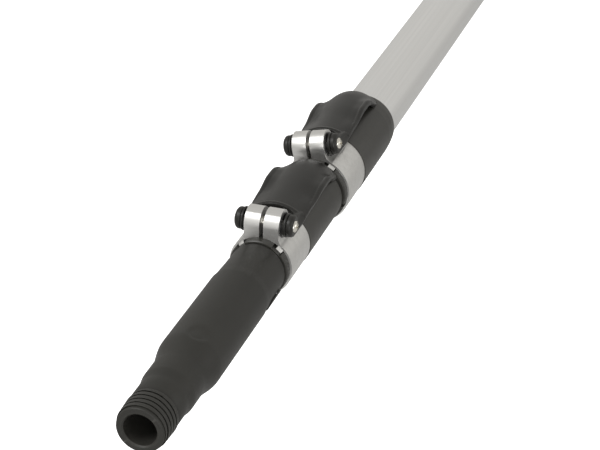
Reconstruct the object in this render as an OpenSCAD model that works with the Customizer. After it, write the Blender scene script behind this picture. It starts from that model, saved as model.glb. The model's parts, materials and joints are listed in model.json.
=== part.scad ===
// Three-section telescopic cleaning pole. The tool thread is at the origin and the pole runs along +X.
// Each joint has a moulded ferrule with a slotted nose, a split collar round it and a cam lever.

/* [Tubes] */
// Outside diameter of the outer (rear) tube
outer_tube_d = 34.5; // [28:0.5:42]
// Wall of all three tubes
tube_wall = 1.6; // [1.2:0.1:2]
// Radial gap between one tube and the next
tube_gap = 0.8; // [0.5:0.05:1]
// Length of the outer tube
outer_tube_len = 1100; // [500:10:1800]

/* [Tip connector] */
// Radius of the hole through the tip
tip_bore_r = 8.2; // [6:0.1:9.5]
// Length of the threaded stretch
thread_len = 16; // [10:0.5:20]
// Distance from one thread crest to the next
thread_pitch = 2.9; // [2:0.1:4]
// Radius at the root of the thread
thread_root_r = 11.7; // [11:0.1:12.2]
// Height of the thread at the tip
thread_h = 0.6; // [0.3:0.05:1]
// How much the thread crest grows towards the neck
thread_growth = 0.6; // [0:0.1:0.8]
// Radius of the smooth neck behind the thread
neck_r = 12.5; // [12:0.1:13]
// Radius of the step behind the neck
step_r = 13.5; // [13.2:0.1:14.5]
// Where the step starts to rise
step_x = 27; // [20:0.5:30]
// Length of the rise to the step
step_rise_len = 7; // [4:0.5:10]
// Where the main body starts to rise
body_x = 45; // [42:0.5:48]
// Length of the rise to the main body
body_rise_len = 16; // [8:0.5:20]
// Wall round the inner tube at the rear end of the body
connector_wall = 2.55; // [2:0.05:4]
// How much the main body swells above its rear end
body_swell = 1.1; // [0.5:0.1:2]
// Length of the whole connector
connector_len = 155; // [140:1:200]
// Where the inner tube starts inside the connector
socket_x = 62; // [60:1:80]
// Length of the tapered rear stretch of the body
body_taper_len = 30; // [20:1:40]

/* [Retaining pin] */
// Distance of the pin from the rear end of the connector
pin_from_rear = 14; // [12:0.5:20]
// Turn of the pin round the pole, seen from the tip
pin_turn = 120; // [0:5:355]
// Length of the pin's pad
pad_len = 17; // [12:0.5:20]
// Width of the pin's pad
pad_w = 7; // [5:0.5:10]
// Height of the pad above the connector
pad_h = 0.7; // [0.5:0.1:1.5]
// Radius of the pin's shank
pin_r = 2; // [1.5:0.1:2.2]

/* [Ferrules] */
// Wall of the slotted nose that grips the smaller tube
nose_wall = 3.5; // [2.6:0.1:4]
// Wall of the sleeve that is bonded on the larger tube
sleeve_wall = 2.55; // [2:0.05:3.5]
// How far the nose stands out in front of the collar
nose_lead = 4.2; // [3:0.1:6]
// Length from the front of the nose to the end of the larger tube
grip_len = 44; // [40:1:60]
// How far the front ferrule runs on behind its lever
front_sleeve_past = 0.3; // [0.1:0.1:10]
// How far the rear ferrule runs on behind its lever
rear_sleeve_past = 6.9; // [0.1:0.1:10]
// Fall of the rear ferrule's surface towards its rear edge
rear_fall = 0.9; // [0.3:0.1:1.2]
// Fall of the front ferrule's surface towards its rear edge
front_fall = 0.2; // [0:0.1:1.2]
// Length of that fall
fall_len = 14; // [8:1:20]
// Width of the slots that let the nose close
slot_w = 2; // [1:0.1:3]
// Uncut stretch of the nose behind the slots
slot_end_gap = 6; // [4:0.5:12]
// First angle of the notch beside the ears
notch_from = 28; // [26:1:32]
// Last angle of the notch beside the ears
notch_to = 51; // [48:1:56]
// Depth of the notch
notch_depth = 1.3; // [1:0.1:1.6]

/* [Collars] */
// Wall of the split collar
collar_wall = 1.1; // [0.9:0.1:2.5]
// Length of the collar
collar_len = 29.3; // [26:0.1:34]
// Radius of the ears' round ends
ear_r = 8; // [6.8:0.1:9]
// Thickness of one ear
ear_t = 8.3; // [6:0.1:10]
// Width of the gap between the ears
split_w = 2.2; // [1.5:0.1:3]
// Height of the screw above the collar's surface
screw_rise = 4.2; // [3.5:0.1:6]
// Radius of the fillet where an ear meets the collar
ear_fillet_r = 5; // [3:0.5:6]
// Turn of the rear clamp round the pole
rear_clamp_turn = 12.5; // [-45:1:45]

/* [Cam levers] */
// Length of a lever from its screw to its end
lever_len = 78.4; // [70:0.2:94]
// Distance from the screw to the front rim of the arched cover
lever_rim_x = 14; // [12.5:0.5:18]
// Height of the cover's crown above the ferrule
crown_h = 7.6; // [6:0.1:10]
// Wall of the cover
lever_wall = 3; // [2:0.1:3.5]
// How far the cover's edges stand outside the bosses
fork_side = 0.2; // [0:0.1:1]
// How much higher the crown is over the wings than at the rim
crown_rise = 0.8; // [0:0.1:2]
// Where the wings start to reach out, from the screw
wing_from = 32; // [28:1:36]
// Where the wings are widest and highest
wing_to = 48; // [42:1:50]
// Where the cover starts to narrow towards its end
narrow_from = 54; // [50:1:58]
// Length of the rounded end
tail_round = 18; // [12:1:22]
// How much further the finger wings reach out
wing_out = 0.6; // [0:0.1:2]
// How high the finger wings stand above the ferrule
wing_h = 6; // [4:0.1:7]
// Half of the cover's width at its end
tail_half_w = 14; // [10:0.1:15]
// Radius of the fork's bosses
boss_r = 5.7; // [5.4:0.1:6.5]
// Length of a boss along the screw
boss_len = 4.85; // [4.5:0.05:7]
// Thickness of a cam washer's disc
washer_t = 0.5; // [0.4:0.1:1]
// Height of the cam lobes on washer and boss
lobe_h = 0.5; // [0.3:0.1:0.8]
// Radius of the cam washers
washer_r = 6.6; // [6:0.1:7]

/* [Fasteners] */
// Radius of the clamp screw
screw_r = 2.5; // [2:0.1:2.8]
// Radius of the screw's head
screw_head_r = 3.2; // [3:0.1:4]
// Height of the screw's head
screw_head_h = 2; // [1.5:0.1:2.5]
// How deep the head sits in its boss
head_sink = 0.6; // [0.5:0.1:1.5]
// Distance across the nut's flats
nut_af = 8; // [7:0.1:8.4]
// Thickness of the nut
nut_t = 2.7; // [2:0.1:3]
// Thickness of the cap over the nut
cap_t = 1.2; // [0.8:0.1:1.5]

/* [Guide bushes] */
// Length of the bush behind the tube's end
bush_len = 60; // [30:1:80]
// Length of the bush's spigot inside the tube
bush_spigot_len = 30; // [15:1:40]
// Wall of the bushes
bush_wall = 2.5; // [1.5:0.1:3]

/* [End cap] */
// Length of the cap behind the outer tube
cap_len = 44; // [35:1:60]
// Length of the cap's spigot inside the tube
cap_spigot_len = 30; // [15:1:40]
// Wall of the spigot
cap_wall = 2.5; // [1.5:0.1:4]
// Radius of the hanging hole
hang_hole_r = 4.5; // [3:0.1:6]
// Distance of the hanging hole from the cap's end
hang_hole_back = 15; // [12:0.5:18]
// Radius of the cap's rounded end
cap_end_r = 12.5; // [10:0.5:14]

/* [Clearances] */
// Radial clearance of a tube in its ferrule, and of the screw in the ears
running = 0.05; // [0.02:0.01:0.1]
// Radial clearance of a guide bush in the tube round it
bush_running = 0.1; // [0.05:0.01:0.1]
// Gap between two sections that meet end to end
section_gap = 0.7; // [0.5:0.1:2]
// Gap between the bushes and the end cap when the pole is shut
bush_gap = 2; // [1:0.5:10]
// Gap round the cam washers in their seats on the ears
seat_gap = 0.2; // [0.1:0.05:0.4]
// Gap between the levers and what is under them
lever_gap = 0.5; // [0.4:0.1:0.8]

/* [Hidden] */
$fn = 96;
black = "#3a3936";
nib = 0.01;

// Tube radii, each tube running in the next
outer_r = outer_tube_d / 2;
outer_bore_r = outer_r - tube_wall;
middle_r = outer_bore_r - tube_gap;
middle_bore_r = middle_r - tube_wall;
inner_r = middle_bore_r - tube_gap;
inner_bore_r = inner_r - tube_wall;

// Radii of the connector's body, and lengths of the sleeves that carry the levers
body_rear_r = inner_r + connector_wall;
body_r = body_rear_r + body_swell;
front_sleeve_len = ear_r + lever_len + front_sleeve_past - collar_len;
rear_sleeve_len = ear_r + lever_len + rear_sleeve_past - collar_len;

// Places along the pole, from the tip to the rear
front_x = connector_len + section_gap;
front_collar_x = front_x + nose_lead;
middle_x = front_x + grip_len;
front_end_x = front_collar_x + collar_len + front_sleeve_len;
rear_x = front_end_x + section_gap;
rear_collar_x = rear_x + nose_lead;
outer_x = rear_x + grip_len;
outer_end_x = outer_x + outer_tube_len;
middle_bush_x = outer_end_x - cap_spigot_len - bush_gap - bush_len;
inner_bush_x = middle_bush_x - bush_spigot_len - bush_gap - bush_len;

// Widths across a clamp, from the middle of the pole
ear_out = split_w / 2 + ear_t;
lobe_y = ear_out + washer_t + lobe_h;
boss_lobe_y = lobe_y + running;
boss_in = boss_lobe_y + lobe_h;
boss_out = boss_in + boss_len;
fork_half_w = boss_out + fork_side;
head_y = boss_out - head_sink;
nut_y = boss_out - cap_t - nut_t;
nut_r = nut_af / 2 / cos(30);
lobe_r = washer_r - 1;

// Radii of the two clamps: [tube that is gripped, tube that carries the ferrule]
front_tubes = [inner_r, middle_r];
rear_tubes = [middle_r, outer_r];
function nose_r(tubes) = tubes[0] + running + nose_wall;
function collar_r(tubes) = nose_r(tubes) + collar_wall;
function ferrule_r(tubes) = tubes[1] + sleeve_wall;
function screw_z(tubes) = collar_r(tubes) + screw_rise;

// Smooth step from 0 at a to 1 at b
function ease(t, a, b) = let (u = min(1, max(0, (t - a) / (b - a)))) u * u * (3 - 2 * u);
function arc_points(c, r, a, b, n) = [for (i = [0:n]) c + r * [cos(a + (b - a) * i / n),
                                                               sin(a + (b - a) * i / n)]];

// A section drawn across the pole, a section drawn along it, and a profile of [radius, x]
module across(x, len) translate([x, 0, 0]) rotate([90, 0, 90]) linear_extrude(len) children();
module sideways(y, t) translate([0, y + t, 0]) rotate([90, 0, 0]) linear_extrude(t) children();
module turned(points) rotate([90, 0, 90]) rotate_extrude() polygon(points);
module rod(x, len, r) translate([x, 0, 0]) rotate([0, 90, 0]) cylinder(h = len, r = r);
module cross_rod(y, len, r, sides = 96)
    translate([0, y + len, 0]) rotate([90, 0, 0]) cylinder(h = len, r = r, $fn = sides);

module tube(x, end_x, r) {
    difference() {
        rod(x, end_x - x, r);
        rod(x - 1, end_x - x + 2, r - tube_wall);
    }
}

// Moves a clamp's pieces to their screw axis, turned round the pole
module at_screw(clamp_x, tubes, turn) {
    rotate([-turn, 0, 0]) translate([clamp_x + ear_r, 0, screw_z(tubes)]) children();
}

// ---- Tip connector
module tip_connector() {
    turns = floor((thread_len - 1.5) / thread_pitch);
    flank = thread_pitch / 6;
    thread = [for (i = [0:turns - 1]) let (x = 1.2 + i * thread_pitch,
                                           crest = thread_root_r + thread_h + thread_growth * i / turns)
              each [[thread_root_r, x], [crest, x + flank],
                    [crest, x + flank * 3], [thread_root_r, x + flank * 4]]];
    rise_1 = [for (i = [0:8]) [neck_r + (step_r - neck_r) * ease(i, 0, 8), step_x + i * step_rise_len / 8]];
    rise_2 = [for (i = [0:10])
              [step_r + (body_r - step_r) * ease(i, 0, 10), body_x + i * body_rise_len / 10]];
    color(black) difference() {
        turned(concat([[tip_bore_r - 1, 0], [thread_root_r - 0.5, 0], [thread_root_r, 0.6]], thread,
                      [[thread_root_r, thread_len], [neck_r, thread_len + 1]], rise_1, rise_2,
                      [[body_r, connector_len - body_taper_len], [body_rear_r, connector_len - 0.5],
                       [body_rear_r - 0.5, connector_len], [tip_bore_r - 1, connector_len]]));
        rod(-1, connector_len + 2, tip_bore_r);
        rod(socket_x, connector_len, inner_r);
        at_pin() cylinder(h = body_r, r = pin_r);
    }
}

module at_pin() {
    rotate([pin_turn, 0, 0]) translate([connector_len - pin_from_rear, 0, 0]) children();
}

// Snap pin that holds the connector on the inner tube, with a low rounded pad outside
module retaining_pin() {
    seat_r = body_rear_r + (body_r - body_rear_r) * pin_from_rear / body_taper_len;
    color(black) {
        at_pin() translate([0, 0, inner_bore_r - 1]) cylinder(h = seat_r - inner_bore_r + 1.5, r = pin_r);
        difference() {
            intersection() {
                rotate([pin_turn, 0, 0]) translate([connector_len - pin_from_rear, 0, 0])
                    linear_extrude(body_r * 2) {
                        square([pad_len - pad_w, pad_w], center = true);
                        for (side = [-1, 1]) translate([side * (pad_len - pad_w) / 2, 0]) circle(d = pad_w);
                    }
                rod(0, connector_len, seat_r + pad_h);
            }
            turned([[0, 0], [body_r + 0.02, 0], [body_r + 0.02, connector_len - body_taper_len],
                    [body_rear_r + 0.02, connector_len - 0.5], [body_rear_r, connector_len + 1],
                    [0, connector_len + 1]]);
        }
    }
}

// ---- Tubes and their guide bushes
module inner_tube() color("#c4c4c2") difference() {
    tube(socket_x, inner_bush_x, inner_r);
    at_pin() cylinder(h = body_r, r = pin_r);
}
module middle_tube() color("#c4c4c2") tube(middle_x, middle_bush_x, middle_r);
module outer_tube() color("#c4c4c2") tube(outer_x, outer_end_x, outer_r);

module guide_bush(x, spigot_r, bush_r) {
    color("#22252a") difference() {
        union() {
            rod(x - bush_spigot_len, bush_spigot_len + 1, spigot_r);
            turned([[0, x], [bush_r - 0.5, x], [bush_r, x + 0.5], [bush_r, x + bush_len - 1],
                    [bush_r - 1, x + bush_len], [0, x + bush_len]]);
        }
        rod(x - bush_spigot_len - 1, bush_spigot_len + bush_len + 2, spigot_r - bush_wall);
    }
}
module inner_guide_bush() guide_bush(inner_bush_x, inner_bore_r - running, middle_bore_r - bush_running);
module middle_guide_bush() guide_bush(middle_bush_x, middle_bore_r - running, outer_bore_r - bush_running);

// ---- Ferrules
module notch_2d(r, from, to) {
    for (side = [-1, 1])
        polygon(concat([[0, 0]], [for (a = [from:(to - from) / 6:to + nib])
                                  (r + 2) * [side * sin(a), cos(a)]]));
}

module ferrule(x, sleeve_len, fall, tubes) {
    nose = nose_r(tubes);
    sleeve = ferrule_r(tubes);
    back_x = x + nose_lead + collar_len;
    end_x = back_x + sleeve_len;
    shoulder_x = x + grip_len;
    color(black) difference() {
        turned([[0, x], [nose - 0.5, x], [nose, x + 0.5], [nose, back_x], [sleeve - 0.5, back_x],
                [sleeve, back_x + 0.5], [sleeve, end_x - fall_len],
                [sleeve - fall * 0.35, end_x - fall_len / 2],
                [sleeve - fall, end_x - 1.5], [sleeve - fall - 0.9, end_x], [0, end_x]]);
        rod(x - 1, sleeve_len * 2, tubes[0] + running);
        rod(shoulder_x, sleeve_len * 2, tubes[1]);
        across(x - 1, nose_lead + ear_r + 1) difference() {
            notch_2d(nose, notch_from, notch_to);
            circle(r = nose - notch_depth);
        }
        for (a = [120, 180, 240])
            rotate([a, 0, 0]) translate([x - 1, -slot_w / 2, 0])
                cube([grip_len - slot_end_gap, slot_w, sleeve + 5]);
    }
}
module front_ferrule() ferrule(front_x, front_sleeve_len, front_fall, front_tubes);
module rear_ferrule()
    rotate([-rear_clamp_turn, 0, 0]) ferrule(rear_x, rear_sleeve_len, rear_fall, rear_tubes);

// ---- Split collars
module ear_section(tubes, top_z) {
    r = collar_r(tubes);
    fillet_z = sqrt(pow(r + ear_fillet_r, 2) - pow(ear_out + ear_fillet_r, 2));
    translate([-ear_out, 0]) square([2 * ear_out, top_z]);
    for (side = [-1, 1]) scale([side, 1]) difference() {
        polygon([[0, 0], [ear_out + nib, fillet_z], [ear_out, fillet_z],
                 [ear_out + ear_fillet_r, fillet_z] * r / (r + ear_fillet_r)]);
        translate([ear_out + ear_fillet_r, fillet_z]) circle(r = ear_fillet_r);
    }
}

module collar(x, tubes) {
    bore = nose_r(tubes) + running;
    top_z = screw_z(tubes) + ear_r;
    color("#b4b4b0") difference() {
        union() {
            turned([[0, x], [collar_r(tubes) - 0.4, x], [collar_r(tubes), x + 0.4],
                    [collar_r(tubes), x + collar_len - 0.4], [collar_r(tubes) - 0.4, x + collar_len],
                    [0, x + collar_len]]);
            intersection() {
                across(x, ear_r * 2) ear_section(tubes, top_z);
                sideways(-30, 60) translate([x + ear_r, 0]) union() {
                    translate([0, screw_z(tubes)]) circle(r = ear_r);
                    translate([-ear_r, 0]) square([ear_r * 2, screw_z(tubes)]);
                }
            }
        }
        rod(x - 1, collar_len + 2, bore);
        translate([x - 1, -split_w / 2, 0]) cube([collar_len + 2, split_w, top_z + 1]);
        translate([x + ear_r, 0, screw_z(tubes)]) cross_rod(-30, 60, screw_r + running);
        for (side = [0, 1]) mirror([0, side, 0])
            translate([x + ear_r, 0, screw_z(tubes)])
                cross_rod(ear_out, ear_fillet_r + 5, washer_r + seat_gap);
    }
    color("#b4b4b0") across(x, ear_r - 1) intersection() {
        notch_2d(bore, notch_from + 8, notch_to - 2);
        difference() {
            circle(r = bore + collar_wall / 2);
            circle(r = bore - notch_depth + 0.15);
        }
    }
}
module front_collar() collar(front_collar_x, front_tubes);
module rear_collar() rotate([-rear_clamp_turn, 0, 0]) collar(rear_collar_x, rear_tubes);

// ---- Cam washers and the lobes that press on them
module lobes(y) {
    sideways(y, lobe_h) for (a = [0, 180]) rotate(a) intersection() {
        difference() {
            circle(r = lobe_r);
            circle(r = screw_r + 0.8);
        }
        polygon([[0, 0], [20, -12], [20, 12]]);
    }
}

module cam_washers() {
    color(black) for (side = [0, 1]) mirror([0, side, 0]) {
        difference() {
            cross_rod(ear_out, washer_t, washer_r);
            cross_rod(ear_out - 1, washer_t + 2, screw_r + running);
        }
        lobes(lobe_y - lobe_h);
    }
}
module front_cam_washers() at_screw(front_collar_x, front_tubes, 0) cam_washers();
module rear_cam_washers() at_screw(rear_collar_x, rear_tubes, rear_clamp_turn) cam_washers();

// Heights of the cover's edges over the ferrule's crown: at the fork, their rise behind it between
// two places, and how far below the crown they end
edge_lift = 0.4;
edge_rise = 1.3;
fork_from = 11;
fork_to = 28;
tail_drop = 5;

// ---- Levers. The cover's section is an arc through its crown and its two edges, at t from the screw
tail_t = lever_len - tail_round;
function crown_z(t, r) = let (h = crown_h + crown_rise * ease(t, 20, 60))
    t < tail_t ? r + h : r - edge_lift + (h + edge_lift) * sqrt(1 - pow((t - tail_t) / (tail_round + 1), 2));
function edge_y(t) = fork_half_w + wing_out * ease(t, wing_from, wing_to)
    - (fork_half_w + wing_out - tail_half_w) * ease(t, narrow_from, lever_len);
function edge_z(t, r) = r + edge_lift + edge_rise * ease(t, fork_from, fork_to)
    + (wing_h - edge_lift - edge_rise) * ease(t, wing_from, wing_to)
    - (wing_h + tail_drop) * ease(t, narrow_from, lever_len);
function arch_r(t, r) = let (h = crown_z(t, r) - edge_z(t, r)) (pow(edge_y(t), 2) + h * h) / (2 * h);
function cover_point(t, r, u, depth) =
    let (arch = arch_r(t, r), a = u * asin(edge_y(t) / arch),
         y = (arch - depth) * sin(a), z = crown_z(t, r) - arch + (arch - depth) * cos(a),
         grow = max(1, (r + lever_gap) / norm([y, z])))
    [t, y * grow, z * grow];

module cover(r) {
    stations = [for (t = [-2:2.6:tail_t - 2]) t, for (i = [0:9]) tail_t + tail_round * sin(10 * i)];
    n = 12;
    ring = 2 * (n + 1);
    points = [for (t = stations) each concat(
        [for (j = [0:n]) cover_point(t, r, 2 * j / n - 1, 0)],
        [for (j = [n:-1:0]) cover_point(t, r, 2 * j / n - 1, lever_wall)])];
    last = (len(stations) - 1) * ring;
    sides = [for (i = [0:len(stations) - 2]) for (j = [0:ring - 1])
             let (a = i * ring + j, b = i * ring + (j + 1) % ring)
             each [[a, b + ring, a + ring], [a, b, b + ring]]];
    ends = [for (j = [0:n - 1]) let (k = ring - 1 - j)
            each [[j, k - 1, j + 1], [j, k, k - 1],
                  [last + j, last + j + 1, last + k - 1], [last + j, last + k - 1, last + k]]];
    polyhedron(points, concat(sides, ends), convexity = 6);
}

module lever(tubes) {
    z = screw_z(tubes);
    color(black) difference() {
        union() {
            difference() {
                translate([0, 0, -z]) cover(ferrule_r(tubes));
                translate([-20, -boss_in, -z]) cube([20 + lever_rim_x, 2 * boss_in, 2 * z]);
            }
            for (side = [0, 1]) mirror([0, side, 0]) {
                translate([0, boss_out, 0]) rotate([90, 0, 0]) rotate_extrude()
                    polygon([[0, 0], [boss_r - 0.8, 0], [boss_r, 0.8], [boss_r, boss_out - boss_in],
                             [0, boss_out - boss_in]]);
                lobes(boss_lobe_y);
            }
        }
        cross_rod(-boss_out, 2 * boss_out - cap_t, screw_r);
        cross_rod(-boss_out - 1, head_sink + 1, screw_head_r);
        cross_rod(nut_y, nut_t + nib, nut_r, 6);
        cross_rod(boss_out - cap_t, cap_t + 1, nut_r);
    }
}
module front_lever() at_screw(front_collar_x, front_tubes, 0) lever(front_tubes);
module rear_lever() at_screw(rear_collar_x, rear_tubes, rear_clamp_turn) lever(rear_tubes);

// ---- Screws, nuts and the caps over the nuts
module screw() {
    color("#d8d8d6") difference() {
        union() {
            cross_rod(-head_y, head_y + nut_y + nut_t, screw_r);
            translate([0, -head_y, 0]) rotate([90, 0, 0]) rotate_extrude()
                polygon([[0, 0], [screw_head_r, 0], [screw_head_r, screw_head_h * 0.4],
                         [screw_head_r * 0.85, screw_head_h * 0.8], [screw_head_r * 0.5, screw_head_h],
                         [0, screw_head_h]]);
        }
        for (a = [45, 135]) rotate([0, a, 0])
            translate([-screw_head_r * 0.55, -head_y - screw_head_h - 1, -0.4])
                cube([screw_head_r * 1.1, 2.1, 0.8]);
    }
}
module nut() color("#d8d8d6") difference() {
    cross_rod(nut_y, nut_t, nut_r, 6);
    cross_rod(nut_y - 1, nut_t + 2, screw_r);
}
module nut_cap() color(black) translate([0, boss_out, 0]) rotate([90, 0, 0]) rotate_extrude()
    polygon([[0, -0.4], [nut_r - 1, -0.4], [nut_r - 0.4, 0], [nut_r, 0], [nut_r, cap_t], [0, cap_t]]);

module front_screw() at_screw(front_collar_x, front_tubes, 0) screw();
module front_nut() at_screw(front_collar_x, front_tubes, 0) nut();
module front_nut_cap() at_screw(front_collar_x, front_tubes, 0) nut_cap();
module rear_screw() at_screw(rear_collar_x, rear_tubes, rear_clamp_turn) screw();
module rear_nut() at_screw(rear_collar_x, rear_tubes, rear_clamp_turn) nut();
module rear_nut_cap() at_screw(rear_collar_x, rear_tubes, rear_clamp_turn) nut_cap();

// ---- End cap with its hanging hole
module end_cap() {
    x = outer_end_x;
    end_x = x + cap_len;
    color(black) difference() {
        turned(concat([[0, x - cap_spigot_len], [outer_bore_r - 0.6, x - cap_spigot_len],
                       [outer_bore_r, x - cap_spigot_len + 0.6], [outer_bore_r, x],
                       [outer_r + 0.6, x], [outer_r + 0.6, x + 4], [outer_r, x + 4.6]],
                      arc_points([outer_r - cap_end_r, end_x - cap_end_r], cap_end_r, 0, 90, 10),
                      [[0, end_x]]));
        rod(x - cap_spigot_len - 1, cap_spigot_len + 5, outer_bore_r - cap_wall);
        translate([end_x - hang_hole_back, 0, 0]) cross_rod(-30, 60, hang_hole_r);
    }
}

tip_connector();
retaining_pin();
inner_tube();
inner_guide_bush();
front_ferrule();
front_collar();
front_cam_washers();
front_lever();
front_screw();
front_nut();
front_nut_cap();
middle_tube();
middle_guide_bush();
rear_ferrule();
rear_collar();
rear_cam_washers();
rear_lever();
rear_screw();
rear_nut();
rear_nut_cap();
outer_tube();
end_cap();
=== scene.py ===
import math

import bmesh
import bpy
from mathutils import Matrix, Vector
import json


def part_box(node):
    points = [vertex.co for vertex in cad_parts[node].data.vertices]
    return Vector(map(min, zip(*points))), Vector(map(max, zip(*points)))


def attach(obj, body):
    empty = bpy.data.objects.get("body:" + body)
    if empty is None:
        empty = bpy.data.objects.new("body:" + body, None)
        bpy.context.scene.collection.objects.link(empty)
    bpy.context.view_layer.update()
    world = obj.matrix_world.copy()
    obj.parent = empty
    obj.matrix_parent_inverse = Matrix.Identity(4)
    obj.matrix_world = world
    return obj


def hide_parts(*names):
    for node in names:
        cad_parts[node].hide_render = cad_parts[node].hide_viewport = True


mm = 0.001

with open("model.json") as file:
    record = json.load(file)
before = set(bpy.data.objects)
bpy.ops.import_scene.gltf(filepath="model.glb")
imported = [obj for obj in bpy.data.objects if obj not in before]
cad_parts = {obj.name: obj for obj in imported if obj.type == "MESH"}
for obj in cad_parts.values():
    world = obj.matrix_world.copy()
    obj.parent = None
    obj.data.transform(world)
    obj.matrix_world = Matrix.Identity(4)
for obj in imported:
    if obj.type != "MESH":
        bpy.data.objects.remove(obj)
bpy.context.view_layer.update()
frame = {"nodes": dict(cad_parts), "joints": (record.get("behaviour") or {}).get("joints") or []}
joints = {joint["name"]: joint for joint in frame["joints"]}
print("frame loaded", flush=True)


def ease(t, a, b):
    u = min(1.0, max(0.0, (t - a) / (b - a)))
    return u * u * (3 - 2 * u)


def sizeOf(node):
    low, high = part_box(node)
    return Vector(low), Vector(high)


def newObject(name, bm):
    mesh = bpy.data.meshes.new(name)
    bm.normal_update()
    bm.to_mesh(mesh)
    bm.free()
    piece = bpy.data.objects.new(name, mesh)
    bpy.context.scene.collection.objects.link(piece)
    return piece


def applyModifiers(piece):
    # the evaluated shape becomes the piece's own mesh
    graph = bpy.context.evaluated_depsgraph_get()
    done = bpy.data.meshes.new_from_object(piece.evaluated_get(graph))
    piece.modifiers.clear()
    piece.data = done


def smoothPiece(piece, angle=35):
    for face in piece.data.polygons:
        face.use_smooth = True
    piece.data.set_sharp_from_angle(angle=math.radians(angle))


def dress(piece, material, body, replaced=()):
    piece.data.materials.clear()
    piece.data.materials.append(material)
    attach(piece, body)
    if replaced:
        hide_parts(*replaced)


def lathe(bm, profile, segments=96):
    # profile is a closed loop of (x, radius) in mm, turned round the pole's axis
    rings = []
    for step in range(segments):
        angle = 2 * math.pi * step / segments
        rings.append([bm.verts.new((x, r * math.sin(angle), r * math.cos(angle))) for x, r in profile])
    count = len(profile)
    for step in range(segments):
        here, there = rings[step], rings[(step + 1) % segments]
        for i in range(count):
            j = (i + 1) % count
            bm.faces.new((here[i], here[j], there[j], there[i]))
    bmesh.ops.remove_doubles(bm, verts=bm.verts, dist=1e-5)
    bmesh.ops.recalc_face_normals(bm, faces=bm.faces)


def arc(centre, radius, start, end, steps):
    # points of an arc, angles in degrees from +x towards the radius axis
    points = []
    for i in range(steps + 1):
        angle = math.radians(start + (end - start) * i / steps)
        points.append((centre[0] + radius * math.cos(angle), centre[1] + radius * math.sin(angle)))
    return points


def skinRings(bm, rings):
    # joins closed rings of corners into a bar and closes both of its ends
    count = len(rings[0])
    for here, there in zip(rings, rings[1:]):
        for i in range(count):
            j = (i + 1) % count
            bm.faces.new((here[i], here[j], there[j], there[i]))
    bm.faces.new(rings[0][::-1])
    bm.faces.new(rings[-1])
    bmesh.ops.recalc_face_normals(bm, faces=bm.faces)


def closeBlock(bm, near, far):
    # two copies of one outline and the walls between them
    bm.faces.new(near)
    bm.faces.new(far[::-1])
    for i in range(len(near)):
        j = (i + 1) % len(near)
        bm.faces.new((near[i], far[i], far[j], near[j]))
    bmesh.ops.recalc_face_normals(bm, faces=bm.faces)


def pushAcross(bm, outline, y0, y1):
    # outline is a list of (x, z), pushed from y0 to y1
    closeBlock(bm, [bm.verts.new((x, y0, z)) for x, z in outline],
               [bm.verts.new((x, y1, z)) for x, z in outline])


def pushAlong(bm, outline, x0, x1):
    # outline is a list of (y, z), pushed from x0 to x1
    closeBlock(bm, [bm.verts.new((x0, y, z)) for y, z in outline],
               [bm.verts.new((x1, y, z)) for y, z in outline])


def cutWith(piece, bm, operation="DIFFERENCE"):
    cutter = newObject("cutter", bm)
    change = piece.modifiers.new("cut", "BOOLEAN")
    change.operation = operation
    change.solver = "EXACT"
    change.object = cutter
    applyModifiers(piece)
    bpy.data.objects.remove(cutter)


# shader groups shared by the finishes
def startGroup(name, inputs, outputs):
    group = bpy.data.node_groups.new(name, "ShaderNodeTree")
    for label, value in inputs.items():
        socket = group.interface.new_socket(label, in_out="INPUT", socket_type="NodeSocketFloat")
        socket.default_value = value
    for label in outputs:
        group.interface.new_socket(label, in_out="OUTPUT", socket_type="NodeSocketFloat")
    return group, group.nodes.new("NodeGroupInput"), group.nodes.new("NodeGroupOutput")


def mathNode(nodes, links, operation, first, second, clamp=False):
    node = nodes.new("ShaderNodeMath")
    node.operation = operation
    node.use_clamp = clamp
    for socket, value in zip(node.inputs, (first, second)):
        if isinstance(value, (int, float)):
            socket.default_value = value
        else:
            links.new(value, socket)
    return node.outputs[0]


def mouldGrainGroup():
    # fine spark-eroded skin of a moulding, with slow patches where it set unevenly
    group, given, out = startGroup("mouldGrain", {"Grain Scale": 2600.0, "Patch Scale": 45.0},
                                   ("Grain", "Patches"))
    nodes, links = group.nodes, group.links
    place = nodes.new("ShaderNodeTexCoord")
    fine = nodes.new("ShaderNodeTexNoise")
    fine.inputs["Detail"].default_value = 2.0
    links.new(place.outputs["Object"], fine.inputs["Vector"])
    links.new(given.outputs["Grain Scale"], fine.inputs["Scale"])
    slow = nodes.new("ShaderNodeTexNoise")
    slow.inputs["Detail"].default_value = 4.0
    slow.inputs["Roughness"].default_value = 0.6
    links.new(place.outputs["Object"], slow.inputs["Vector"])
    links.new(given.outputs["Patch Scale"], slow.inputs["Scale"])
    links.new(fine.outputs["Fac"], out.inputs["Grain"])
    links.new(slow.outputs["Fac"], out.inputs["Patches"])
    return group


def edgeWearGroup():
    # edges that hands and other parts have rubbed, broken up by noise
    group, given, out = startGroup("edgeWear", {"Start": 0.53, "Width": 0.07, "Break Up": 260.0}, ("Wear",))
    nodes, links = group.nodes, group.links
    place = nodes.new("ShaderNodeTexCoord")
    shape = nodes.new("ShaderNodeNewGeometry")
    above = mathNode(nodes, links, "SUBTRACT", shape.outputs["Pointiness"], given.outputs["Start"])
    edge = mathNode(nodes, links, "DIVIDE", above, given.outputs["Width"], clamp=True)
    patchy = nodes.new("ShaderNodeTexNoise")
    patchy.inputs["Detail"].default_value = 3.0
    links.new(place.outputs["Object"], patchy.inputs["Vector"])
    links.new(given.outputs["Break Up"], patchy.inputs["Scale"])
    links.new(mathNode(nodes, links, "MULTIPLY", edge, patchy.outputs["Fac"], clamp=True), out.inputs["Wear"])
    return group


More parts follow.
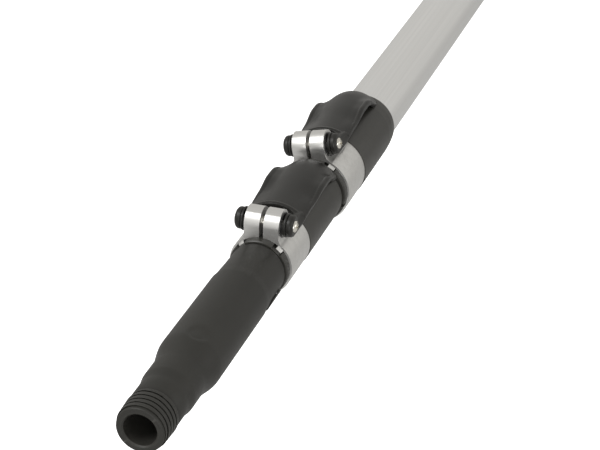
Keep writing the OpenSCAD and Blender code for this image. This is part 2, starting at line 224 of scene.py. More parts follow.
def drawnLinesGroup():
    # fine lines left by drawing or linishing, long one way and close the other
    group, given, out = startGroup("drawnLines", {"Along X": 6.0, "Along Y": 900.0, "Along Z": 900.0},
                                   ("Lines", "Streaks"))
    nodes, links = group.nodes, group.links
    place = nodes.new("ShaderNodeTexCoord")
    stretch = nodes.new("ShaderNodeCombineXYZ")
    for label, axis in (("Along X", "X"), ("Along Y", "Y"), ("Along Z", "Z")):
        links.new(given.outputs[label], stretch.inputs[axis])
    for output, share, detail in (("Lines", 1.0, 3.0), ("Streaks", 0.18, 2.0)):
        scaled = nodes.new("ShaderNodeVectorMath")
        scaled.operation = "MULTIPLY"
        links.new(place.outputs["Object"], scaled.inputs[0])
        links.new(stretch.outputs[0], scaled.inputs[1])
        pattern = nodes.new("ShaderNodeTexNoise")
        pattern.inputs["Scale"].default_value = share
        pattern.inputs["Detail"].default_value = detail
        links.new(scaled.outputs[0], pattern.inputs["Vector"])
        links.new(pattern.outputs["Fac"], out.inputs[output])
    return group


mouldGrain = mouldGrainGroup()
edgeWear = edgeWearGroup()
drawnLines = drawnLinesGroup()


def newMaterial(name):
    material = bpy.data.materials.new(name)
    material.use_nodes = True
    nodes, links = material.node_tree.nodes, material.node_tree.links
    return material, nodes, links, nodes["Principled BSDF"]


def placeGroup(nodes, group, values=None):
    node = nodes.new("ShaderNodeGroup")
    node.node_tree = group
    for label, value in (values or {}).items():
        node.inputs[label].default_value = value
    return node


def mixColour(nodes, links, factor, first, second):
    mix = nodes.new("ShaderNodeMix")
    mix.data_type = "RGBA"
    links.new(factor, mix.inputs["Factor"])
    for socket, value in ((mix.inputs["A"], first), (mix.inputs["B"], second)):
        if isinstance(value, tuple):
            socket.default_value = (*value, 1.0)
        else:
            links.new(value, socket)
    return mix.outputs["Result"]


def remap(nodes, links, value, low, high, newLow, newHigh):
    node = nodes.new("ShaderNodeMapRange")
    for label, number in (("From Min", low), ("From Max", high), ("To Min", newLow), ("To Max", newHigh)):
        node.inputs[label].default_value = number
    links.new(value, node.inputs["Value"])
    return node.outputs["Result"]


def addBump(nodes, links, shader, height, strength, distance):
    bump = nodes.new("ShaderNodeBump")
    bump.inputs["Strength"].default_value = strength
    bump.inputs["Distance"].default_value = distance
    links.new(height, bump.inputs["Height"])
    links.new(bump.outputs["Normal"], shader.inputs["Normal"])


def mouldedPlastic(name, dark, light, worn, rough, shine, grainScale=2600.0, grainDepth=0.25):
    material, nodes, links, shader = newMaterial(name)
    skin = placeGroup(nodes, mouldGrain, {"Grain Scale": grainScale})
    wear = placeGroup(nodes, edgeWear)
    patches = remap(nodes, links, skin.outputs["Patches"], 0.35, 0.65, 0.0, 1.0)
    base = mixColour(nodes, links, patches, dark, light)
    links.new(mixColour(nodes, links, wear.outputs["Wear"], base, worn), shader.inputs["Base Color"])
    shader.inputs["Specular IOR Level"].default_value = shine
    roughness = remap(nodes, links, skin.outputs["Patches"], 0.3, 0.7, rough - 0.05, rough + 0.06)
    links.new(mathNode(nodes, links, "SUBTRACT", roughness,
                       mathNode(nodes, links, "MULTIPLY", wear.outputs["Wear"], 0.12)),
              shader.inputs["Roughness"])
    addBump(nodes, links, shader, skin.outputs["Grain"], grainDepth, 0.00004)
    return material


def drawnMetal(name, dark, light, rough, lines, bumpStrength):
    material, nodes, links, shader = newMaterial(name)
    drawn = placeGroup(nodes, drawnLines, lines)
    tone = mathNode(nodes, links, "ADD", mathNode(nodes, links, "MULTIPLY", drawn.outputs["Lines"], 0.5),
                    mathNode(nodes, links, "MULTIPLY", drawn.outputs["Streaks"], 0.5))
    level = remap(nodes, links, tone, 0.38, 0.62, 0.0, 1.0)
    links.new(mixColour(nodes, links, level, dark, light), shader.inputs["Base Color"])
    links.new(remap(nodes, links, tone, 0.35, 0.65, rough + 0.05, rough - 0.05), shader.inputs["Roughness"])
    shader.inputs["Metallic"].default_value = 1.0
    addBump(nodes, links, shader, drawn.outputs["Lines"], bumpStrength, 0.00002)
    return material


leverFinish = mouldedPlastic("leverNylon", (0.013, 0.0128, 0.0118), (0.017, 0.0167, 0.0152),
                             (0.05, 0.049, 0.045), 0.37, 0.3)
ferruleFinish = mouldedPlastic("ferruleNylon", (0.019, 0.0184, 0.0158), (0.026, 0.0252, 0.0216),
                               (0.055, 0.054, 0.049), 0.42, 0.42)
tipFinish = mouldedPlastic("tipNylon", (0.017, 0.0166, 0.0145), (0.023, 0.0224, 0.0195),
                           (0.06, 0.058, 0.052), 0.48, 0.32, grainScale=1900.0, grainDepth=0.4)
bushFinish = mouldedPlastic("bushAcetal", (0.014, 0.014, 0.014), (0.018, 0.018, 0.018),
                            (0.04, 0.04, 0.04), 0.3, 0.4)
tubeFinish = drawnMetal("anodisedTube", (0.73, 0.73, 0.725), (0.78, 0.78, 0.775), 0.46,
                        {"Along X": 5.0, "Along Y": 900.0, "Along Z": 900.0}, 0.06)
collarFinish = drawnMetal("linishedCollar", (0.62, 0.617, 0.604), (0.68, 0.676, 0.664), 0.42,
                          {"Along X": 1700.0, "Along Y": 40.0, "Along Z": 1700.0}, 0.08)
zincFinish = drawnMetal("zincPlate", (0.62, 0.60, 0.55), (0.80, 0.78, 0.72), 0.24,
                        {"Along X": 700.0, "Along Y": 300.0, "Along Z": 700.0}, 0.08)
print("finishes made", flush=True)


# tip connector with its helical tool thread
tip = {"bore": 8.2, "mouth": 0.7, "threadLength": 16.0, "root": 11.7, "neck": 12.5, "stepStart": 27.0,
       "stepRise": 7.0, "step": 13.5, "bodyStart": 45.0, "bodyRise": 16.0, "taper": 30.0, "tail": 15.0,
       "segments": 192, "turns": 4.9, "pitch": 2.9, "height": 0.62, "growth": 0.6,
       "dimpleAt": 63.0, "dimpleTurn": 14.0, "dimpleSize": 6.5, "dimpleDepth": 0.55}


def tipProfile(bodyRadius, length, socketStart, socketRadius):
    steps = 28
    outer = [(0.0, tip["root"] - 1.0)] + arc((0.9, tip["root"] - 0.9), 0.9, 180, 90, 6)
    outer += [(tip["threadLength"] + 0.4, tip["root"]), (tip["threadLength"] + 1.6, tip["neck"])]
    for i in range(steps + 1):
        rise = tip["neck"] + (tip["step"] - tip["neck"]) * ease(i, 0, steps)
        outer.append((tip["stepStart"] + tip["stepRise"] * i / steps, rise))
    for i in range(steps + 1):
        rise = tip["step"] + (bodyRadius - tip["step"]) * ease(i, 0, steps)
        outer.append((tip["bodyStart"] + tip["bodyRise"] * i / steps, rise))
    taperStart = length - tip["taper"]
    bodyEnd = tip["bodyStart"] + tip["bodyRise"]
    outer += [(bodyEnd + (taperStart - bodyEnd) * i / 30, bodyRadius) for i in range(1, 31)]
    outer += [(taperStart + (tip["taper"] - 1.0) * i / 10,
               bodyRadius + (tip["tail"] - bodyRadius) * ease(i, -6, 10)) for i in range(1, 11)]
    outer += arc((length - 0.9, tip["tail"] - 0.9), 0.9, 90, 0, 5)
    inner = [(length, socketRadius), (socketStart, socketRadius), (socketStart, tip["bore"]),
             (tip["mouth"], tip["bore"]), (0.0, tip["bore"] + tip["mouth"])]
    return outer + inner


def threadTree(name):
    # a trapezoid bar swept along a spiral that opens out towards the neck
    tree = bpy.data.node_groups.new(name, "GeometryNodeTree")
    for label, kind, value in (("Turns", "Float", 5.0), ("Pitch", "Float", 0.003), ("Root", "Float", 0.012),
                               ("Height", "Float", 0.0006), ("Growth", "Float", 0.0006)):
        socket = tree.interface.new_socket(label, in_out="INPUT", socket_type="NodeSocket" + kind)
        socket.default_value = value
    tree.interface.new_socket("Finish", in_out="INPUT", socket_type="NodeSocketMaterial")
    tree.interface.new_socket("Geometry", in_out="OUTPUT", socket_type="NodeSocketGeometry")
    nodes, links = tree.nodes, tree.links
    given, out = nodes.new("NodeGroupInput"), nodes.new("NodeGroupOutput")

    spiral = nodes.new("GeometryNodeCurveSpiral")
    spiral.inputs["Resolution"].default_value = 96
    links.new(given.outputs["Turns"], spiral.inputs["Rotations"])
    links.new(given.outputs["Root"], spiral.inputs["Start Radius"])
    links.new(mathNode(nodes, links, "ADD", given.outputs["Root"], given.outputs["Growth"]),
              spiral.inputs["End Radius"])
    links.new(mathNode(nodes, links, "MULTIPLY", given.outputs["Turns"], given.outputs["Pitch"]),
              spiral.inputs["Height"])
    upright = nodes.new("GeometryNodeSetCurveNormal")
    upright.mode = "Z_UP"
    links.new(spiral.outputs["Curve"], upright.inputs["Curve"])

    bar = nodes.new("GeometryNodeCurvePrimitiveQuadrilateral")
    bar.mode = "TRAPEZOID"
    links.new(mathNode(nodes, links, "MULTIPLY", given.outputs["Pitch"], 0.86), bar.inputs["Bottom Width"])
    links.new(mathNode(nodes, links, "MULTIPLY", given.outputs["Pitch"], 0.30), bar.inputs["Top Width"])
    links.new(mathNode(nodes, links, "MULTIPLY", given.outputs["Height"], 2.0), bar.inputs["Height"])
    bar.inputs["Offset"].default_value = 0.0
    quarter = nodes.new("GeometryNodeTransform")
    quarter.inputs["Rotation"].default_value = (0.0, 0.0, -math.pi / 2)
    links.new(bar.outputs["Curve"], quarter.inputs["Geometry"])
    soft = nodes.new("GeometryNodeFilletCurve")
    soft.mode = "POLY"
    soft.inputs["Count"].default_value = 3
    links.new(mathNode(nodes, links, "MULTIPLY", given.outputs["Height"], 0.35), soft.inputs["Radius"])
    links.new(quarter.outputs["Geometry"], soft.inputs["Curve"])

    # the ridge fades in over its first stretch and out over its last
    along = nodes.new("GeometryNodeSplineParameter")
    rise = mathNode(nodes, links, "MULTIPLY", along.outputs["Factor"], 14.0, clamp=True)
    fall = mathNode(nodes, links, "MULTIPLY",
                    mathNode(nodes, links, "SUBTRACT", 1.0, along.outputs["Factor"]), 9.0, clamp=True)
    sweep = nodes.new("GeometryNodeCurveToMesh")
    sweep.inputs["Fill Caps"].default_value = True
    links.new(upright.outputs["Curve"], sweep.inputs["Curve"])
    links.new(soft.outputs["Curve"], sweep.inputs["Profile Curve"])
    links.new(mathNode(nodes, links, "MINIMUM", rise, fall), sweep.inputs["Scale"])
    lie = nodes.new("GeometryNodeTransform")
    lie.inputs["Rotation"].default_value = (0.0, math.pi / 2, 0.0)
    lie.inputs["Translation"].default_value = (1.6 * mm, 0.0, 0.0)
    links.new(sweep.outputs["Mesh"], lie.inputs["Geometry"])
    realize = nodes.new("GeometryNodeRealizeInstances")
    paint = nodes.new("GeometryNodeSetMaterial")
    links.new(lie.outputs["Geometry"], realize.inputs["Geometry"])
    links.new(realize.outputs["Geometry"], paint.inputs["Geometry"])
    links.new(given.outputs["Finish"], paint.inputs["Material"])
    links.new(paint.outputs["Geometry"], out.inputs["Geometry"])
    return tree


def runTree(name, tree, values):
    piece = newObject(name, bmesh.new())
    change = piece.modifiers.new("nodes", "NODES")
    change.node_group = tree
    for item in tree.interface.items_tree:
        if item.in_out == "INPUT" and item.name in values:
            change[item.identifier] = values[item.name]
    applyModifiers(piece)
    return piece


def makeTip():
    high = sizeOf("tip_connector")[1]
    tubeLow, tubeHigh = sizeOf("inner_tube")
    bodyRadius = high.y / mm
    bm = bmesh.new()
    lathe(bm, tipProfile(bodyRadius, high.x / mm, tubeLow.x / mm, tubeHigh.y / mm), tip["segments"])
    turn = math.radians(tip["dimpleTurn"])
    centre = Vector((tip["dimpleAt"], -math.sin(turn) * bodyRadius, math.cos(turn) * bodyRadius))
    for vert in bm.verts:
        radius = math.hypot(vert.co.y, vert.co.z)
        if radius > tip["neck"] - 0.4 and vert.co.x > tip["threadLength"] + 2:
            away = (vert.co - centre).length / tip["dimpleSize"]
            sink = tip["dimpleDepth"] * (1 - ease(away, 0.55, 1.0))
            vert.co.yz *= (radius - sink) / radius
    bmesh.ops.scale(bm, vec=(mm, mm, mm), verts=bm.verts)
    piece = newObject("tipConnector", bm)
    smoothPiece(piece, 40)
    dress(piece, tipFinish, "inner_section", ("tip_connector",))
    thread = runTree("toolThread", threadTree("helicalThread"),
                     {"Turns": tip["turns"], "Pitch": tip["pitch"] * mm, "Root": tip["root"] * mm,
                      "Height": tip["height"] * mm, "Growth": tip["growth"] * mm, "Finish": tipFinish})
    smoothPiece(thread, 50)
    dress(thread, tipFinish, "inner_section")
    print("tip connector made", flush=True)


makeTip()


# cam levers
# lengths run back from the screw, and heights are over the ferrule's crown
lever = {"tail": 78.4, "tailRound": 18.0, "tailSink": 0.6, "tailDrop": 5.0, "tailHalf": 14.0,
         "rim": 14.0, "crown": 7.6, "crownRise": 0.8, "crownSpan": (20, 60), "wall": 2.6, "gap": 0.5,
         "fork": 16.0, "forkSpan": (11, 28), "edgeLift": 0.4, "edgeRise": 1.3,
         "wingOut": 0.5, "wingHigh": 4.7, "wingSpan": (32, 48), "narrowFrom": 54,
         "flare": 3.4, "flareGrows": (12, 40), "flareFades": (60, 76), "rimBead": 1.55, "rimReach": 0.72,
         "lipBead": 1.5, "beadSides": 16, "bossInner": 10.95, "bossOuter": 15.8, "bossCore": 5.0,
         "bossBore": 2.6, "flange": 6.0, "groove": 5.45, "lobeInner": 3.3, "lobeOuter": 5.6, "lobeHalf": 32,
         "voxel": 0.4, "smooth": 6}


def coverPoint(t, u, ferrule):
    # outer skin at distance t behind the screw, u from -1 at the right edge to 1 at the left
    rise = lever["crown"] + lever["crownRise"] * ease(t, *lever["crownSpan"])
    tailStart = lever["tail"] - lever["tailRound"]
    if t < tailStart:
        crown = ferrule + rise
    else:
        past = (t - tailStart) / (lever["tailRound"] + 1)
        crown = ferrule - lever["tailSink"] + (rise + lever["tailSink"]) * math.sqrt(max(0.0, 1 - past ** 2))
    wing, narrow = ease(t, *lever["wingSpan"]), ease(t, lever["narrowFrom"], lever["tail"])
    halfWidth = (lever["fork"] + lever["wingOut"] * wing
                 - (lever["fork"] + lever["wingOut"] - lever["tailHalf"]) * narrow)
    edge = (ferrule + lever["edgeLift"] + lever["edgeRise"] * ease(t, *lever["forkSpan"])
            + (lever["wingHigh"] - lever["edgeLift"] - lever["edgeRise"]) * wing
            - (lever["wingHigh"] + lever["tailDrop"]) * narrow)
    halfWidth -= lever["wall"] * 0.2
    flare = lever["flare"] * ease(t, *lever["flareGrows"]) * (1 - ease(t, *lever["flareFades"]))
    drop = crown - (edge - flare)
    arch = (halfWidth ** 2 + drop ** 2) / (2 * drop)
    angle = u * math.asin(min(1.0, halfWidth / arch))
    return Vector((arch * math.sin(angle),
                   crown - arch + arch * math.cos(angle) + flare * ease(abs(u), 0.5, 1.05)))


def coverLoop(t, ferrule, across=56, lipSteps=6):
    # one closed section: outer skin, rounded lip, inner skin, rounded lip
    wall = lever["wall"]
    outer, inward = [], []
    for i in range(across + 1):
        u = 2 * i / across - 1
        here = coverPoint(t, u, ferrule)
        ahead = coverPoint(t, min(1.0, u + 0.01), ferrule) - coverPoint(t, max(-1.0, u - 0.01), ferrule)
        ahead.normalize()
        outer.append(here)
        inward.append(Vector((ahead.y, -ahead.x)))
    inner = [here + away * wall for here, away in zip(outer, inward)]

    def lip(index, sign):
        middle = (outer[index] + inner[index]) / 2
        away = -inward[index] * wall / 2
        side = Vector((away.y, -away.x)) * sign
        points = []
        for i in range(1, lipSteps):
            angle = math.pi * i / lipSteps
            points.append(middle + away * math.cos(angle) + side * math.sin(angle))
        return points

    loop = outer + lip(across, 1) + inner[::-1] + lip(0, -1)[::-1]
    least = ferrule + lever["gap"]
    return [point * max(1.0, least / point.length) for point in loop]


def coverMesh(bm, ferrule):
    tailStart = lever["tail"] - lever["tailRound"]
    stations = [-2 + (tailStart + 2) * i / 60 for i in range(60)]
    stations += [tailStart + lever["tailRound"] * math.sin(math.radians(5 * i)) for i in range(19)]
    loops = []
    for t in stations:
        loops.append([bm.verts.new((t, point.x, point.y)) for point in coverLoop(t, ferrule)])
    skinRings(bm, loops)


def bossRings(bm):
    # crisp turned shapes of one boss: a flange next to the ear, a groove and a rounded face
    inner, outer, bore = lever["bossInner"], lever["bossOuter"], lever["bossBore"]
    flange, groove = lever["flange"], lever["groove"]
    profile = [(inner, bore)] + arc((inner + 0.35, flange), 0.35, 180, 90, 4)
    profile += arc((inner + 0.85, flange), 0.35, 90, 0, 4) + [(inner + 1.25, groove), (inner + 1.55, groove)]
    profile += arc((inner + 1.95, 5.5), 0.4, 180, 90, 4) + arc((outer - 1.9, 4.0), 1.9, 90, 12, 9)
    profile += [(outer - 0.1, 3.3), (outer - 0.8, 3.25), (outer - 0.8, bore)]
    ring = bmesh.new()
    lathe(ring, profile, 72)
    for side in (1, -1):
        for face in ring.faces:
            corners = [bm.verts.new((vert.co.y, side * vert.co.x, vert.co.z)) for vert in face.verts]
            bm.faces.new(corners if side < 0 else corners[::-1])
    ring.free()


def rimBead(bm, ferrule, height):
    # a rounded bar along the arched rim, with its ends inside the webs
    rings = []
    t, bead, sides = lever["rim"] + lever["rimBead"] * 0.9, lever["rimBead"], lever["beadSides"]
    for i in range(41):
        u = lever["rimReach"] * (2 * i / 40 - 1)
        here = coverPoint(t, u, ferrule)
        ahead = coverPoint(t, u + 0.01, ferrule) - coverPoint(t, u - 0.01, ferrule)
        ahead.normalize()
        away = Vector((-ahead.y, ahead.x))
        middle = here - away * (bead * 0.72)
        ring = []
        for step in range(sides):
            angle = 2 * math.pi * step / sides
            side = middle + away * (bead * math.sin(angle))
            ring.append(bm.verts.new((t + bead * math.cos(angle), side.x, side.y - height)))
        rings.append(ring)
    skinRings(bm, rings)


def lipBead(bm, ferrule, height, side):
    # a rounded bar that stands proud along one edge, from the fork to the rounded end
    rings = []
    first, last = lever["rim"] + 3.0, lever["tail"] - 4.0
    angles = [2 * math.pi * step / lever["beadSides"] for step in range(lever["beadSides"])]
    for i in range(61):
        t = first + (last - first) * i / 60
        bead = lever["lipBead"] * (0.4 + 0.6 * ease(t, 18, 36)) * (1 - 0.5 * ease(t, 62, last))
        here = coverPoint(t, side, ferrule)
        inner = here - coverPoint(t, side * 0.98, ferrule)
        inner.normalize()
        middle = here - inner * (bead * 0.8) + Vector((0, -bead * 0.35))
        middle *= max(1.0, (ferrule + lever["gap"] + bead + 0.1) / middle.length)
        rings.append([bm.verts.new((t, middle.x + bead * math.cos(a), middle.y + bead * math.sin(a) - height))
                      for a in angles])
    skinRings(bm, rings)


def lobeSector(bm, y0, y1, middle):
    start, end = middle - lever["lobeHalf"], middle + lever["lobeHalf"]
    outline = arc((0, 0), lever["lobeInner"], start, end, 8) + arc((0, 0), lever["lobeOuter"], end, start, 8)
    pushAcross(bm, outline, y0, y1)


def clampPlace(joint):
    # turns a clamp's own millimetres, with its screw at the origin, into the pole's frame
    place = Vector(joint["pos_m"])
    turn = math.atan2(place.y, place.z)
    return (Matrix.Translation(place) @ Matrix.Rotation(-turn, 4, "X") @ Matrix.Scale(mm, 4))


def makeLever(name, body, jointName, ferruleNode, replaced):
    joint = joints[jointName]
    place = clampPlace(joint)
    ferrule = (sizeOf(ferruleNode)[1].y - sizeOf(ferruleNode)[0].y) / 2 / mm
    height = Vector(joint["pos_m"]).yz.length / mm
    bm = bmesh.new()
    coverMesh(bm, ferrule)
    bmesh.ops.translate(bm, vec=(0, 0, -height), verts=bm.verts)
    piece = newObject(name, bm)

    cut = bmesh.new()
    half, rim, corner = lever["bossInner"], lever["rim"], 3.4
    outline = [(-20, -half), (rim - corner, -half)] + arc((rim - corner, -half + corner), corner, -90, 0, 6)
    outline += arc((rim - corner, half - corner), corner, 0, 90, 6) + [(-20, half)]
    pushAcross(cut, outline, -30, 30)
    bmesh.ops.rotate(cut, matrix=Matrix.Rotation(math.pi / 2, 3, "X"), verts=cut.verts)
    cutWith(piece, cut)

    # the bosses' cores, the webs that join them to the cover and the rim's bead, melted together
    solid = bmesh.new()
    solid.from_mesh(piece.data)
    rimBead(solid, ferrule, height)
    for side in (1, -1):
        lipBead(solid, ferrule, height, side)
    for side in (1, -1):
        core = arc((0, 0), lever["bossCore"], 0, 350, 35)
        pushAcross(solid, core, side * (half + 0.3), side * (lever["bossOuter"] - 1.4))
        web = [(-1.0, 3.7), (3.0, 3.7), (9.0, 1.4), (18.0, -0.6), (18.0, -3.4), (4.0, -4.2), (-1.0, -4.2)]
        pushAcross(solid, web, side * (half + 0.1), side * (half + 3.0))
    piece.data = bpy.data.meshes.new(name)
    solid.to_mesh(piece.data)
    solid.free()
    melt = piece.modifiers.new("melt", "REMESH")
    melt.mode = "VOXEL"
    melt.voxel_size = lever["voxel"]
    even = piece.modifiers.new("even", "SMOOTH")
    even.factor = 0.5
    even.iterations = lever["smooth"]
    applyModifiers(piece)

    whole = bmesh.new()
    whole.from_mesh(piece.data)
    bossRings(whole)
    for side in (1, -1):
        for middle in (0, 180):
            lobeSector(whole, side * (half - 0.5), side * (half + 0.2), middle)
    bmesh.ops.remove_doubles(whole, verts=whole.verts, dist=1e-4)
    bmesh.ops.transform(whole, matrix=place, verts=whole.verts)
    piece.data = bpy.data.meshes.new(name)
    whole.to_mesh(piece.data)
    whole.free()
    smoothPiece(piece, 42)
    dress(piece, leverFinish, body, replaced)


makeLever("frontLever", "front_lever", "front_lever_hinge", "front_ferrule", ("front_lever",))
makeLever("rearLever", "rear_lever", "rear_lever_hinge", "rear_ferrule", ("rear_lever",))
print("levers made", flush=True)


# clamp screws
screw = {"shank": 2.5, "head": 3.2, "headHeight": 2.0, "seat": 15.2, "end": 14.6, "cross": 0.5,
         "crossReach": 2.5, "crossDepth": 1.5, "turn": 20.0}


def makeScrew(name, body, jointName, replaced):
    bm = bmesh.new()
    seat, head, tall = screw["seat"], screw["head"], screw["headHeight"]
    dome = [(seat + tall * math.sin(math.radians(a)), head * (0.3 + 0.7 * math.cos(math.radians(a))))
            for a in range(10, 91, 10)]
    profile = [(-screw["end"], 0.0), (-screw["end"], screw["shank"] - 0.4),
               (-screw["end"] + 0.4, screw["shank"]), (seat, screw["shank"]), (seat, head - 0.15),
               (seat + 0.15, head)] + dome + [(seat + tall, 0.0)]
    lathe(bm, profile, 64)
    bmesh.ops.rotate(bm, matrix=Matrix.Rotation(-math.pi / 2, 3, "Z"), verts=bm.verts)
    piece = newObject(name, bm)
    wide, reach = screw["cross"], screw["crossReach"]
    top = seat + tall + 0.5
    arms = [(wide, wide), (wide, reach), (-wide, reach), (-wide, wide), (-reach, wide), (-reach, -wide),
            (-wide, -wide), (-wide, -reach), (wide, -reach), (wide, -wide), (reach, -wide), (reach, wide)]
    recess = bmesh.new()
    pushAcross(recess, arms, -top, -top + screw["crossDepth"] + 0.5)
    bmesh.ops.rotate(recess, matrix=Matrix.Rotation(math.radians(screw["turn"]), 3, "Y"), verts=recess.verts)
    cutWith(piece, recess)
    piece.data.transform(clampPlace(joints[jointName]))
    smoothPiece(piece, 35)
    dress(piece, zincFinish, body, replaced)


makeScrew("frontScrew", "front_lever", "front_lever_hinge", ("front_screw",))
makeScrew("rearScrew", "rear_lever", "rear_lever_hinge", ("rear_screw",))
print("screws made", flush=True)


# split collars
collar = {"wall": 1.1, "split": 2.2, "ear": 8.3, "earRadius": 8.0, "fillet": 5.0, "bevel": 0.45,
          "screwHole": 2.55, "screwRise": 4.2, "seat": 6.8, "keyFrom": 36.0, "keyTo": 49.0,
          "keyDeep": 1.15}


def pointAt(radius, degrees):
    # degrees from the ears' direction, positive to the left
    angle = math.radians(degrees)
    return (radius * math.sin(angle), radius * math.cos(angle))


def collarOutline(radius, top, ears):
    # left half of the section as (y, z): the outside of a C with or without ears, and the bore's arc inside
    bore = radius - collar["wall"]
    slot, out = collar["split"] / 2, collar["split"] / 2 + collar["ear"]
    left = [(slot, math.sqrt((bore - 0.02) ** 2 - slot ** 2))]
    if ears:
        centreY = out + collar["fillet"]
        centreZ = math.sqrt((radius + collar["fillet"]) ** 2 - centreY ** 2)
        left += [(slot, top), (out, top)]
        startAngle, endAngle = 180.0, 180 + math.degrees(math.atan2(centreZ, centreY))
        left += arc((centreY, centreZ), collar["fillet"], startAngle, endAngle, 8)
        first = math.degrees(math.atan2(centreY, centreZ))
    else:
        left += [(slot, math.sqrt(radius ** 2 - slot ** 2))]
        first = math.degrees(math.asin(slot / radius))
    left += [pointAt(radius, first + (180 - first) * i / 48) for i in range(1, 49)]
    inside = [pointAt(bore, 180 - (180 - math.degrees(math.asin(slot / bore))) * i / 48) for i in range(48)]
    return left, inside


def collarHalves(radius, top, ears):
    left, inside = collarOutline(radius, top, ears)
    outer = left[1:]
    right = [(-y, z) for y, z in outer[:-1]]
    loop = outer + right[::-1]
    hole = [(-y, z) for y, z in inside[::-1]]
    return loop + [(-left[0][0], left[0][1])] + hole[:-1] + inside + [left[0]]


def addKey(bm, sign, bore, x0):
    # a key inside the bore, ramped at the front
    deep, steps = bore - collar["keyDeep"], 6
    section = [(x0 - 1.5, deep), (x0 - 0.9, deep + 0.75), (x0 + 0.5, bore + 0.3), (x0 + 7, bore + 0.3),
               (x0 + 7, deep)]
    rings = []
    for i in range(steps + 1):
        degrees = sign * (collar["keyFrom"] + (collar["keyTo"] - collar["keyFrom"]) * i / steps)
        rings.append([bm.verts.new((x, *pointAt(r, degrees))) for x, r in section])
    skinRings(bm, rings)


def makeCollar(name, body, node, jointName, replaced):
    place = Vector(joints[jointName]["pos_m"])
    rise = place.yz.length / mm
    turn = math.atan2(place.y, place.z)
    low, high = sizeOf(node)
    x0, x1 = low.x / mm, high.x / mm
    xs = place.x / mm
    radius = rise - collar["screwRise"]
    top = rise + collar["earRadius"]
    ring = bmesh.new()
    pushAlong(ring, collarHalves(radius, top, False), x0, x1)
    piece = newObject(name, ring)

    ears = bmesh.new()
    pushAlong(ears, collarHalves(radius, top, True), x0, xs + collar["earRadius"])
    earPiece = newObject("ears", ears)
    side = bmesh.new()
    profile = arc((xs, rise), collar["earRadius"], 180, 0, 36)
    profile += [(xs + collar["earRadius"], -40), (xs - collar["earRadius"], -40)]
    pushAcross(side, profile, -40, 40)
    cutWith(earPiece, side, "INTERSECT")
    earMesh = bmesh.new()
    earMesh.from_mesh(earPiece.data)
    bpy.data.objects.remove(earPiece)
    cutWith(piece, earMesh, "UNION")

    hole = bmesh.new()
    pushAcross(hole, arc((xs, rise), collar["screwHole"], 0, 352.5, 47), -40, 40)
    cutWith(piece, hole)
    for sign in (1, -1):
        seat = bmesh.new()
        out = collar["split"] / 2 + collar["ear"]
        pushAcross(seat, arc((xs, rise), collar["seat"], 0, 352.5, 47), sign * out, sign * (out + 12))
        cutWith(piece, seat)
    bevel = piece.modifiers.new("bevel", "BEVEL")
    bevel.width = collar["bevel"]
    bevel.segments = 3
    bevel.limit_method = "ANGLE"
    bevel.angle_limit = math.radians(38)
    bevel.use_clamp_overlap = True
    applyModifiers(piece)

    whole = bmesh.new()
    whole.from_mesh(piece.data)
    bore = radius - collar["wall"]
    for sign in (1, -1):
        addKey(whole, sign, bore, x0)
    bmesh.ops.scale(whole, vec=(mm, mm, mm), verts=whole.verts)
    bmesh.ops.rotate(whole, matrix=Matrix.Rotation(-turn, 3, "X"), verts=whole.verts)
    piece.data = bpy.data.meshes.new(name)
    whole.to_mesh(piece.data)
    whole.free()
    smoothPiece(piece, 30)
    dress(piece, collarFinish, body, replaced)


makeCollar("frontCollar", "middle_section", "front_collar", "front_lever_hinge", ("front_collar",))
makeCollar("rearCollar", "root", "rear_collar", "rear_lever_hinge", ("rear_collar",))
print("collars made", flush=True)


# carried-over nodes
carried = {ferruleFinish: ("front_ferrule", "rear_ferrule", "end_cap", "front_nut_cap", "rear_nut_cap"),
           tubeFinish: ("outer_tube", "middle_tube", "inner_tube"),
           tipFinish: ("retaining_pin",),
           bushFinish: ("inner_guide_bush", "middle_guide_bush", "front_cam_washers", "rear_cam_washers"),
           zincFinish: ("front_nut", "rear_nut")}
for finish, names in carried.items():
    for name in names:
        node = frame["nodes"][name]
        if not node.material_slots:
            node.data.materials.append(finish)
        for slot in node.material_slots:
            slot.material = finish
print("carried nodes dressed", flush=True)


# floor, light and camera
studio = {"floorDrop": 0.34, "floorHalf": 6.0, "floorTone": 0.6, "skyStrength": 0.68}
lights = {"key": {"place": (-0.7, 0.9, 1.5), "target": (0.2, 0.0, 0.0), "power": 19.0, "size": (0.9, 0.9)},
          "side": {"place": (0.1, -1.5, 0.35), "target": (0.2, 0.0, 0.0), "power": 4.0, "size": (1.2, 0.8)},
          "front": {"place": (-1.6, -0.5, 0.25), "target": (0.1, 0.0, 0.0), "power": 8.5, "size": (0.9, 0.9)}}


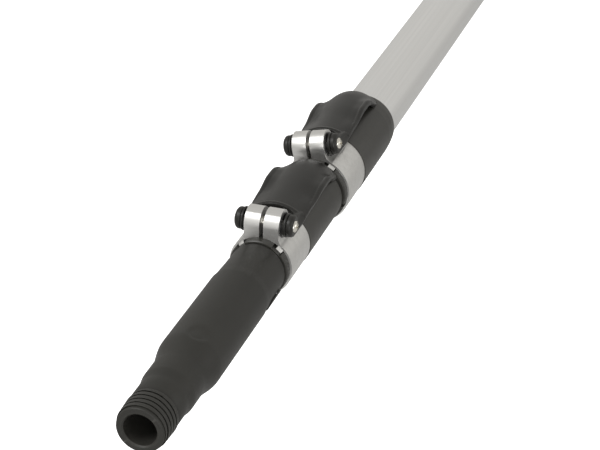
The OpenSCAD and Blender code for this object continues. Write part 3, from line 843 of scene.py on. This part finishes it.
def addFloor():
    bm = bmesh.new()
    half, drop = studio["floorHalf"], -studio["floorDrop"]
    corners = ((-half, -half), (half, -half), (half, half), (-half, half))
    bm.faces.new([bm.verts.new((x, y, drop)) for x, y in corners])
    floor = newObject("floor", bm)
    material, nodes, links, shader = newMaterial("paleFloor")
    tone = studio["floorTone"]
    shader.inputs["Base Color"].default_value = (tone, tone, tone, 1.0)
    shader.inputs["Roughness"].default_value = 0.8
    shader.inputs["Emission Color"].default_value = (1.0, 1.0, 1.0, 1.0)
    seen = nodes.new("ShaderNodeLightPath")
    links.new(seen.outputs["Is Camera Ray"], shader.inputs["Emission Strength"])
    floor.data.materials.append(material)


def addLight(name, place, target, power, size):
    data = bpy.data.lights.new(name, "AREA")
    data.shape = "RECTANGLE"
    data.size, data.size_y = size
    data.energy = power
    light = bpy.data.objects.new(name, data)
    light.location = place
    light.rotation_euler = (Vector(target) - Vector(place)).to_track_quat("-Z", "Y").to_euler()
    bpy.context.scene.collection.objects.link(light)


def addSky():
    world = bpy.data.worlds.new("studio")
    world.use_nodes = True
    back = world.node_tree.nodes["Background"]
    nodes, links = world.node_tree.nodes, world.node_tree.links
    seen = nodes.new("ShaderNodeLightPath")
    strength = remap(nodes, links, seen.outputs["Is Camera Ray"], 0.0, 1.0, studio["skyStrength"], 1.0)
    links.new(strength, back.inputs["Strength"])
    tint = mixColour(nodes, links, seen.outputs["Is Camera Ray"], (1.0, 0.982, 0.94), (1.0, 1.0, 1.0))
    links.new(tint, back.inputs["Color"])
    bpy.context.scene.world = world


# directions are the pole's axis and the front ears as the camera has them: right, down, away
cameraSpot = {"tip": (-0.07128, 0.09143, 0.82107), "pole": (0.31901, -0.44296, 0.83787),
              "ears": (0.01533, -0.88153, -0.47188), "lens": 111.0}


def addCamera():
    pole = Vector(cameraSpot["pole"]).normalized()
    ears = Vector(cameraSpot["ears"])
    ears = (ears - pole * ears.dot(pole)).normalized()
    toPole = Matrix((pole, ears.cross(pole), ears))
    turn = Matrix([toPole @ Vector(axis) for axis in ((1, 0, 0), (0, -1, 0), (0, 0, -1))]).transposed()
    data = bpy.data.cameras.new("camera")
    data.lens = cameraSpot["lens"]
    data.sensor_width = 36.0
    data.clip_start = 0.01
    camera = bpy.data.objects.new("camera", data)
    camera.matrix_world = Matrix.Translation(-(toPole @ Vector(cameraSpot["tip"]))) @ turn.to_4x4()
    bpy.context.scene.collection.objects.link(camera)
    bpy.context.scene.camera = camera


addFloor()
addSky()
for name, light in lights.items():
    addLight(name, **light)
addCamera()
bpy.context.scene.view_settings.view_transform = "Standard"
print("studio set", flush=True)
